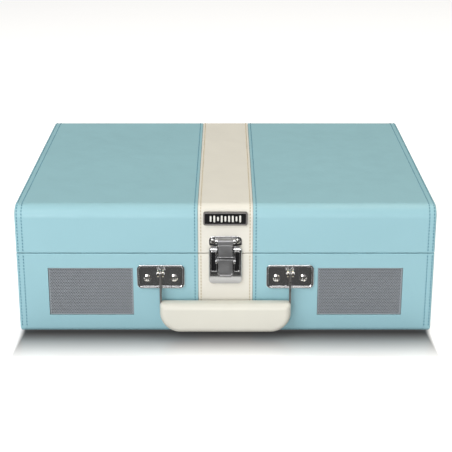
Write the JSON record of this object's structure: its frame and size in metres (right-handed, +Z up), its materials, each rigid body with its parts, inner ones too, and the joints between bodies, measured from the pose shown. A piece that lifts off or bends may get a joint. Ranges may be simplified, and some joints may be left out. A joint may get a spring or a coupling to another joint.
{
  "type": "suitcase record player",
  "caption": "Portable record player in a leatherette suitcase, with hinged lid, folding handle, draw latch, front speaker grilles, belt-driven platter and cueing tonearm.",
  "frame": {"origin": "middle of the object's footprint, handle and hinges included, on the plane the feet stand on", "axes": "+X to the right seen from the front, +Y to the rear where the hinges are, +Z up"},
  "size_m": [0.355, 0.2886, 0.1174],
  "materials": {
    "case_wood": "pressed board, inside painted black",
    "batten_wood": "planed softwood",
    "leatherette_blue": "pale blue, fine grain, stitched",
    "leatherette_cream": "cream, fine grain, stitched",
    "lining_cloth": "matt black cloth paper",
    "rubber_black": "matt",
    "grille_paint": "fine perforated, satin grey",
    "frame_steel": "pressed",
    "cone_paper": "pulp",
    "chrome": "polished",
    "strap_steel": "dark plated",
    "grip_cream": "satin moulded",
    "plastic_black": "matt",
    "badge_black": "gloss face with a grey edge",
    "stay_brass": "plated",
    "screw_chrome": "polished",
    "screw_black": "blackened",
    "pin_steel": "turned",
    "bush_brass": "turned",
    "platter_metal": "spun",
    "mat_felt": "felt",
    "motor_can": "plated can",
    "arm_metal": "satin",
    "weight_metal": "satin black",
    "shell_black": "moulded",
    "cartridge_red": "moulded",
    "deck_black": "satin black",
    "knob_metal": "turned",
    "board_green": "circuit board",
    "lamp_red": "clear moulded",
    "adapter_plastic": "moulded",
    "socket_metal": "plated"
  },
  "bodies": {
    "base": {"base_box": "case_wood", "base_wrap_blue": "leatherette_blue", "base_wrap_cream": "leatherette_cream", "rubber_feet": "rubber_black", "speaker_grilles": "grille_paint", "speaker_frames": "frame_steel", "speaker_cones": "cone_paper", "handle_plate_left": "chrome", "handle_plate_right": "chrome", "latch_base_plate": "chrome", "latch_backing": "plastic_black", "hinge_base_leaves": "chrome", "stay_bracket": "stay_brass", "base_screws": "screw_chrome", "deck_plate": "deck_black", "deck_battens": "batten_wood", "wood_screws": "screw_black", "base_pins": "pin_steel", "spindle": "pin_steel", "spindle_bush": "bush_brass", "motor": "motor_can", "motor_grommets": "rubber_black", "drive_belt": "rubber_black", "tonearm_base": "plastic_black", "arm_rest": "plastic_black", "control_pots": "frame_steel", "main_board": "board_green", "audio_jacks": "plastic_black", "power_lamp": "lamp_red", "jack_panel": "plastic_black", "rear_sockets": "socket_metal"},
    "lid": {"lid_box": "case_wood", "lid_wrap_blue": "leatherette_blue", "lid_wrap_cream": "leatherette_cream", "lid_lining": "lining_cloth", "latch_top_plate": "chrome", "badge": "badge_black", "hinge_lid_leaves": "chrome", "lid_stay": "stay_brass", "lid_screws": "screw_chrome"},
    "hasp": {"latch_hasp": "chrome"},
    "lever": {"latch_lever": "chrome"},
    "handle": {"handle_strap": "strap_steel", "handle_grip": "grip_cream"},
    "platter": {"platter": "platter_metal", "slip_mat": "mat_felt"},
    "pulley": {"motor_pulley": "bush_brass"},
    "arm_pivot": {"arm_gimbal": "arm_metal"},
    "arm": {"arm_tube": "arm_metal", "counterweight": "weight_metal", "headshell": "shell_black", "cartridge": "cartridge_red"},
    "clip": {"arm_clip": "plastic_black"},
    "lift": {"cue_lift": "arm_metal"},
    "cue": {"cue_lever": "plastic_black"},
    "volume": {"volume_knob": "knob_metal"},
    "source": {"source_knob": "knob_metal"},
    "speed": {"speed_switch": "plastic_black"},
    "stop": {"stop_switch": "plastic_black"},
    "adapter": {"adapter_45": "adapter_plastic"}
  },
  "joints": [
    {"name": "lid_hinge", "type": "hinge", "parent": "base", "child": "lid", "pos_m": [0, 0.1417, 0.0755], "axis": [-1, 0, 0], "range_deg": [0, 92]},
    {"name": "hasp_hinge", "type": "hinge", "parent": "lid", "child": "hasp", "pos_m": [0, -0.1331, 0.088], "axis": [-1, 0, 0], "range_deg": [0, 120]},
    {"name": "lever_hinge", "type": "hinge", "parent": "base", "child": "lever", "pos_m": [0, -0.1331, 0.07], "axis": [-1, 0, 0], "range_deg": [0, 40], "stiffness_Nm_per_rad": 0.01},
    {"name": "handle_hinge", "type": "hinge", "parent": "base", "child": "handle", "pos_m": [0, -0.1353, 0.0595], "axis": [-1, 0, 0], "range_deg": [0, 125]},
    {"name": "platter_spin", "type": "hinge", "parent": "base", "child": "platter", "pos_m": [-0.045, -0.0113, 0.0777], "axis": [0, 0, 1], "continuous": true},
    {"name": "pulley_spin", "type": "hinge", "parent": "base", "child": "pulley", "pos_m": [-0.1044, 0.0481, 0.0757], "axis": [0, 0, 1], "continuous": true},
    {"name": "arm_swing", "type": "hinge", "parent": "base", "child": "arm_pivot", "pos_m": [0.0925, 0.0797, 0.0942], "axis": [0, 0, 1], "range_deg": [-38, 0]},
    {"name": "arm_tilt", "type": "hinge", "parent": "arm_pivot", "child": "arm", "pos_m": [0.0925, 0.0797, 0.0942], "axis": [-1, 0, 0], "range_deg": [0, 3]},
    {"name": "clip_hinge", "type": "hinge", "parent": "base", "child": "clip", "pos_m": [0.0975, -0.0383, 0.0968], "axis": [0, 1, 0], "range_deg": [-70, 0]},
    {"name": "lift_slide", "type": "slide", "parent": "base", "child": "lift", "axis": [0, 0, 1], "range_m": [0, 0.0017]},
    {"name": "cue_hinge", "type": "hinge", "parent": "base", "child": "cue", "pos_m": [0.1174, 0.0717, 0.0832], "axis": [-1, 0, 0], "range_deg": [0, 60.1]},
    {"name": "volume_turn", "type": "hinge", "parent": "base", "child": "volume", "pos_m": [0.14, -0.0703, 0.0797], "axis": [0, 0, 1], "range_deg": [-140, 140]},
    {"name": "source_turn", "type": "hinge", "parent": "base", "child": "source", "pos_m": [0.14, -0.0333, 0.0797], "axis": [0, 0, 1], "range_deg": [-45, 45]},
    {"name": "speed_slide", "type": "slide", "parent": "base", "child": "speed", "axis": [0, 1, 0], "range_m": [0, 0.008]},
    {"name": "stop_slide", "type": "slide", "parent": "base", "child": "stop", "axis": [0, 1, 0], "range_m": [0, 0.004]},
    {"name": "adapter_lift", "type": "slide", "parent": "base", "child": "adapter", "axis": [0, 0, 1], "range_m": [0, 0.015]}
  ],
  "couplings": [
    {"joint": "pulley_spin", "follows": "platter_spin", "ratio": 14},
    {"joint": "cue_hinge", "follows": "arm_tilt", "ratio": 20},
    {"joint": "lift_slide", "follows": "arm_tilt", "m_per_rad": 0.032}
  ]
}
